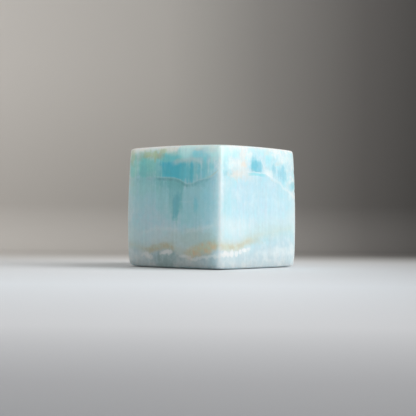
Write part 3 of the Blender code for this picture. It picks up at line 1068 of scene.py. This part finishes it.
@dataclass
class CalciteBlock:
    """The stone: one block of banded calcite, sawn, softened at its edges and polished."""

    node: str = "calcite_cube"
    slot: str = "polished_calcite"
    widest_level: float = 0.30
    top_narrowing: float = 0.033
    base_narrowing: float = 0.001
    upright_softness: float = 2.9 * MM
    rim_softness: float = 2.1 * MM
    foot_softness: float = 2.5 * MM
    top_dome: float = 0.5 * MM
    wear_passed_on: float = 0.30
    corner_wear: dict[tuple[int, int, int], float] = field(default_factory=lambda: {
        (1, -1, 1): 1.0 * MM, (-1, -1, 1): 0.4 * MM, (1, 1, 1): 0.5 * MM, (-1, 1, 1): 0.9 * MM,
        (1, -1, -1): 1.4 * MM, (-1, -1, -1): 1.5 * MM, (1, 1, -1): 1.0 * MM, (-1, 1, -1): 1.3 * MM,
    })
    cage_cuts: int = 3
    smoothing_steps: int = 5
    skin_rows: int = 128
    inset: float = 0.01 * MM
    wave_depth: float = 0.05 * MM
    wave_length_mm: float = 13.0
    nick_depth: float = 0.30 * MM
    nick_length_mm: float = 2.4
    pit_depth: float = 0.16 * MM
    pit_length_mm: float = 0.9
    groove_depth: float = 0.04 * MM
    groove_length_mm: float = 6.0
    crust_from_mm: float = 40.0

    def __post_init__(self) -> None:
        """Take the block's box from the frame."""
        self.low, self.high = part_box(self.node)
        self.size = self.high - self.low

    @staticmethod
    def side_of(share: float) -> int:
        """Side of the block on which a cage row lies: -1, 0 or 1."""
        return (share > 0) - (share < 0)

    def row_place(self, share: float, half: float, softness: float) -> float:
        """Place of a cage row along one axis: the rows between middle and edge hold the edge."""
        return self.side_of(share) * (half if abs(share) == 1 else half - softness)

    def level_width(self, level: float) -> float:
        """Share of the full width that the block has at a level from 0 (base) to 1 (top)."""
        if level > self.widest_level:
            return 1 - self.top_narrowing * ((level - self.widest_level) / (1 - self.widest_level)) ** 2
        return 1 - self.base_narrowing * ((self.widest_level - level) / self.widest_level) ** 2

    def wear_at(self, shares: Sequence[float]) -> float:
        """How far a cage point is worn in: a corner fully, the points next to it in part."""
        if 0 in shares:
            return 0.0
        corner = tuple(self.side_of(share) for share in shares)
        rows_away = sum(abs(share) < 1 for share in shares)
        return self.corner_wear[corner] * self.wear_passed_on**rows_away

    def cage_point(self, shares: Sequence[float]) -> Vector:
        """Place of a cage point.

        Args:
            shares: Its rows, as shares from -1 to 1 of each half side.

        Returns:
            The point.
        """
        softness = self.rim_softness if shares[2] > 0 else self.foot_softness
        z = self.size.z / 2 + self.row_place(shares[2], self.size.z / 2, softness)
        narrowed = self.level_width(z / self.size.z)
        x = narrowed * self.row_place(shares[0], self.size.x / 2, self.upright_softness)
        y = narrowed * self.row_place(shares[1], self.size.y / 2, self.upright_softness)
        if shares[2] == 1:
            z -= self.top_dome * ((2 * x / self.size.x) ** 2 + (2 * y / self.size.y) ** 2) / 2
        wear = self.wear_at(shares)
        x -= wear * self.side_of(shares[0])
        y -= wear * self.side_of(shares[1])
        if shares[2] == 1 or all(abs(share) == 1 for share in shares):
            z -= wear * self.side_of(shares[2])
        return Vector((x, y, z))

    @staticmethod
    def grid_cube(name: str, cuts: int) -> bpy.types.Object:
        """A cube from -1 to 1 whose faces are cut into a grid.

        Args:
            name: The object's name.
            cuts: How many times each edge is cut.

        Returns:
            The object.
        """
        shape = bmesh.new()
        bmesh.ops.create_cube(shape, size=2.0)
        bmesh.ops.subdivide_edges(shape, edges=shape.edges[:], cuts=cuts, use_grid_fill=True)
        mesh = bpy.data.meshes.new(name)
        shape.to_mesh(mesh)
        shape.free()
        block = bpy.data.objects.new(name, mesh)
        bpy.context.scene.collection.objects.link(block)
        return block

    @staticmethod
    def settle(piece: bpy.types.Object) -> None:
        """Replace an object's mesh by what its modifiers make of it."""
        shown = piece.evaluated_get(bpy.context.evaluated_depsgraph_get())
        mesh = bpy.data.meshes.new_from_object(shown)
        piece.modifiers.clear()
        piece.data = mesh

    def smooth_form(self) -> bpy.types.Object:
        """The block's smooth form: the coarse cage, rounded and fitted to the frame's box.

        Returns:
            The form, an object that is only a guide.
        """
        form = self.grid_cube("smooth_form", self.cage_cuts)
        for vertex in form.data.vertices:
            vertex.co = self.cage_point([round(2 * value) / 2 for value in vertex.co])
        form.modifiers.new("polish", "SUBSURF").levels = self.smoothing_steps
        self.settle(form)
        corners = [vertex.co for vertex in form.data.vertices]
        low = Vector([min(corner[axis] for corner in corners) for axis in range(3)])
        high = Vector([max(corner[axis] for corner in corners) for axis in range(3)])
        margin = Vector((self.inset,) * 3)
        scale = [(self.size[axis] - 2 * self.inset) / (high - low)[axis] for axis in range(3)]
        stretch = Matrix.Diagonal((*scale, 1.0))
        form.data.transform(Matrix.Translation(self.low + margin) @ stretch @ Matrix.Translation(-low))
        return form

    def wear_depth(self, place: Vector, normal: Vector) -> float:
        """How deep the finished skin lies under the smooth form.

        Args:
            place: The point, in millimetres.
            normal: The smooth form's normal there.

        Returns:
            The depth in metres: polishing waves, nicks on the edges and pits in the tan layers.
        """
        waves = self.wave_depth * (0.5 + 0.5 * noise.noise(place / self.wave_length_mm))
        second = sorted(abs(value) for value in normal)[1]
        chipped = ease(noise.noise(place / self.nick_length_mm), 0.25, 0.8)
        nick = ease(second, 0.2, 0.6) * chipped * self.nick_depth
        porous = ease(abs(SEAM.over(place)), 2.2, 0.6)
        if place.z > self.crust_from_mm:
            porous = max(porous, 0.7 * ease(CRUST.over(place, 8.0), -0.5, 1.0))
        holed = ease(noise.noise(place / self.pit_length_mm + Vector((7, 3, 1))), 0.2, 0.7)
        pit = porous * holed * self.pit_depth
        broken = ease(noise.noise(place / self.groove_length_mm + Vector((2, 9, 4))), -0.3, 0.3)
        groove = self.groove_depth * ease(abs(VEIN.over(place) + 0.4), 0.8, 0.2) * broken
        return waves + nick + pit + groove

    def skin(self) -> bpy.types.Object:
        """The finished skin: an even grid laid on the smooth form, then worn in.

        Returns:
            The piece.
        """
        form = self.smooth_form()
        piece = self.grid_cube("calcite_block", self.skin_rows - 1)
        middle = (self.low + self.high) / 2
        piece.data.transform(Matrix.Translation(middle) @ Matrix.Diagonal((*(self.size / 2), 1.0)))
        wrap = piece.modifiers.new("wrap", "SHRINKWRAP")
        wrap.wrap_method = "NEAREST_SURFACEPOINT"
        wrap.target = form
        self.settle(piece)
        bpy.data.objects.remove(form)
        worn_from = self.foot_softness / 2
        depths = [self.wear_depth(vertex.co / MM, vertex.normal) if vertex.co.z > worn_from else 0.0
                  for vertex in piece.data.vertices]
        moved = [vertex.co - vertex.normal * depth
                 for vertex, depth in zip(piece.data.vertices, depths)]
        for vertex, place in zip(piece.data.vertices, moved):
            vertex.co = place
        piece.data.shade_smooth()
        return piece

    def build(self) -> bpy.types.Object:
        """Make the block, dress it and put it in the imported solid's place.

        Returns:
            The piece.
        """
        piece = self.skin()
        finish = CalciteFinish("banded_calcite", self.size.x / 2 / MM, self.size.z / MM)
        piece.data.materials.append(finish.make())
        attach(piece, BODY)
        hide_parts(self.node)
        return piece


@dataclass(frozen=True)
class Viewpoint:
    """The camera: low over the floor, square to the block's front upright edge."""

    azimuth: float = math.radians(40.1)
    distance: float = 0.472
    height: float = 0.01898
    tilt_up: float = math.radians(0.689)
    turn_left: float = math.radians(0.208)
    roll: float = math.radians(0.414)
    lens: float = 97.0
    sensor: float = 36.0
    nearest: float = 0.01
    farthest: float = 20.0

    @property
    def turned(self) -> Matrix:
        """Turn from the camera's own directions (right, away, up) to the block's frame."""
        return Matrix.Rotation(self.azimuth, 4, "Z")

    def make(self) -> bpy.types.Object:
        """Build the camera and make it the scene's own.

        Returns:
            The camera.
        """
        data = bpy.data.cameras.new("viewpoint")
        data.lens = self.lens
        data.sensor_width = self.sensor
        data.clip_start = self.nearest
        data.clip_end = self.farthest
        camera = bpy.data.objects.new("viewpoint", data)
        bpy.context.scene.collection.objects.link(camera)
        upright = Matrix.Rotation(math.pi / 2 + self.tilt_up, 4, "X")
        aim = Matrix.Rotation(self.turn_left, 4, "Z") @ upright @ Matrix.Rotation(self.roll, 4, "Z")
        place = Matrix.Translation((0.0, -self.distance, self.height))
        camera.matrix_world = self.turned @ place @ aim
        bpy.context.scene.camera = camera
        return camera


@dataclass(frozen=True)
class SoftLight:
    """A large square studio light, aimed at the block. Its place is right, away and up from it."""

    name: str
    place: Triple
    side: float
    power: float
    colour: Colour = (1.0, 1.0, 1.0)

    def make(self, turned: Matrix, aim: Vector) -> bpy.types.Object:
        """Build the light.

        Args:
            turned: Turn from right, away and up to the block's frame.
            aim: The point that it looks at.

        Returns:
            The light.
        """
        data = bpy.data.lights.new(self.name, "AREA")
        data.size = self.side
        data.energy = self.power
        data.color = self.colour
        light = bpy.data.objects.new(self.name, data)
        bpy.context.scene.collection.objects.link(light)
        place = turned @ Vector(self.place)
        facing = (aim - place).to_track_quat("-Z", "Y").to_matrix().to_4x4()
        light.matrix_world = Matrix.Translation(place) @ facing
        return light


@dataclass(frozen=True)
class SweepPaintAndPaintedLight:
    """Plain matt paint of the sweep, with painted light in it: a pale floor that passes softly into a
    greyer wall.

    The stops are shades along the floor, from near to far, and across the wall, from left to right, and
    they
    are painted light: the floor is darker near the camera and brightest in a painted pool of light just in
    front of the block, and the wall is painted lit at its left and shaded at its right. The spans are where
    they start and end, in metres. The wall's foot is darker at the left and the floor at the right, each by
    the last of its three numbers, as painted shade.
    """

    name: str = "sweep_paint_and_painted_light"
    floor_span: tuple[float, float] = (-0.40, 0.10)
    # Floor shades: painted fall-off of light towards the camera and a painted pool of light before the
    # block
    floor_painted_light_stops: tuple[tuple[float, Colour], ...] = (
        (0.0, (0.30, 0.31, 0.33)), (0.12, (0.45, 0.46, 0.49)), (0.26, (0.72, 0.74, 0.78)),
        (0.52, (0.82, 0.87, 0.93)), (0.80, (0.74, 0.76, 0.79)), (1.0, (0.68, 0.68, 0.68)))
    wall_span: tuple[float, float] = (-0.14, 0.14)
    # Wall shades: painted light at the left, painted shade at the right
    wall_painted_light_stops: tuple[tuple[float, Colour], ...] = (
        (0.0, (0.68, 0.65, 0.62)), (0.39, (0.475, 0.455, 0.43)), (0.62, (0.258, 0.247, 0.234)),
        (0.855, (0.107, 0.101, 0.096)), (1.0, (0.052, 0.049, 0.047)))
    passage: tuple[float, float] = (0.03, 0.19)
    wall_foot_shade_rise: Triple = (0.13, 0.0, 0.24)
    wall_foot_shade_spread: tuple[float, float] = (0.03, -0.05)
    floor_right_painted_falloff: Triple = (0.0, 0.13, 0.44)
    roughness: float = 0.8

    def make(self) -> bpy.types.Material:
        """Build the material.

        Returns:
            The material.
        """
        material = bpy.data.materials.new(self.name)
        graph = Graph(material)
        right, away, up = graph.node("ShaderNodeTexCoord", {}, {}, "Object").parts()
        shades = []
        for place, (start, end), stops in ((away, self.floor_span, self.floor_painted_light_stops),
                                           (right, self.wall_span, self.wall_painted_light_stops)):
            share = (place - start) / (end - start)
            shades.append(graph.node("ShaderNodeValToRGB", {"stops": stops}, {"Fac": share}, "Color"))
        # Painted shade on the wall's foot at the left, and painted fall-off of light over the floor's right
        painted_wall_foot_shade = up.fade(*self.wall_foot_shade_rise) * right.fade(*self.wall_foot_shade_spread)
        painted_floor_falloff = right.fade(*self.floor_right_painted_falloff)
        floor = shades[0] * (1 - painted_floor_falloff)
        wall = shades[1] * (1 - painted_wall_foot_shade)
        shade = graph.mix(away.fade(*self.passage), floor, wall)
        graph.feed(graph.shader.inputs["Base Color"], shade)
        graph.feed(graph.shader.inputs["Roughness"], self.roughness)
        return material


@dataclass
class Studio:
    """The pale floor, the wall behind it, the lights and the air's own light."""

    viewpoint: Viewpoint
    floor_reach: float = 1.6
    floor_front: float = 2.0
    wall_distance: float = 0.262
    wall_height: float = 0.9
    cove_radius: float = 0.03
    cove_steps: int = 16
    ambient: Colour = (0.41, 0.40, 0.375)
    lights: tuple[SoftLight, ...] = (
        SoftLight("high_window", (0.60, -0.10, 0.75), 0.60, 4.5),
        SoftLight("low_window", (0.85, -0.25, 0.25), 0.50, 3.8),
        SoftLight("overhead", (0.0, 0.18, 0.55), 0.25, 0.4),
    )

    def sweep(self) -> bpy.types.Object:
        """The floor and the wall as one sheet, with a cove between them.

        Returns:
            The sheet.
        """
        edge = self.wall_distance - self.cove_radius
        angles = [math.pi / 2 * step / self.cove_steps for step in range(self.cove_steps + 1)]
        line = [(-self.floor_front, 0.0)]
        line += [(edge + self.cove_radius * math.sin(angle), self.cove_radius * (1 - math.cos(angle)))
                 for angle in angles]
        line.append((self.wall_distance, self.wall_height))
        shape = bmesh.new()
        rows = [[shape.verts.new((side * self.floor_reach, away, up)) for away, up in line]
                for side in (-1, 1)]
        for (a, b), (c, d) in zip(zip(rows[0], rows[0][1:]), zip(rows[1], rows[1][1:])):
            shape.faces.new((a, c, d, b))
        mesh = bpy.data.meshes.new("sweep")
        shape.to_mesh(mesh)
        shape.free()
        mesh.shade_smooth()
        mesh.materials.append(SweepPaintAndPaintedLight().make())
        sweep = bpy.data.objects.new("sweep", mesh)
        sweep.matrix_world = self.viewpoint.turned
        bpy.context.scene.collection.objects.link(sweep)
        return sweep

    def air(self) -> None:
        """Give the world one even light."""
        world = bpy.data.worlds.new("studio_air")
        world.use_nodes = True
        background = world.node_tree.nodes["Background"]
        background.inputs["Color"].default_value = (*self.ambient, 1.0)
        bpy.context.scene.world = world

    def build(self, aim: Vector) -> list[bpy.types.Object]:
        """Make the stage, the air and the lights.

        Args:
            aim: The point that the lights look at.

        Returns:
            The stage's objects and the lights.
        """
        self.air()
        lamps = [light.make(self.viewpoint.turned, aim) for light in self.lights]
        return [self.sweep(), *lamps]


def main() -> None:
    """Build the block, the camera and the studio, and report each piece."""
    logging.basicConfig(level=logging.INFO, format="%(name)s: %(message)s")
    block = CalciteBlock()
    stone = block.build()
    log.info("%s: %d faces", stone.name, len(stone.data.polygons))
    viewpoint = Viewpoint()
    log.info("%s: camera", viewpoint.make().name)
    for thing in Studio(viewpoint).build((block.low + block.high) / 2):
        log.info("%s: studio", thing.name)
    bpy.context.scene.view_settings.view_transform = "Standard"


if __name__ == "__main__":
    main()
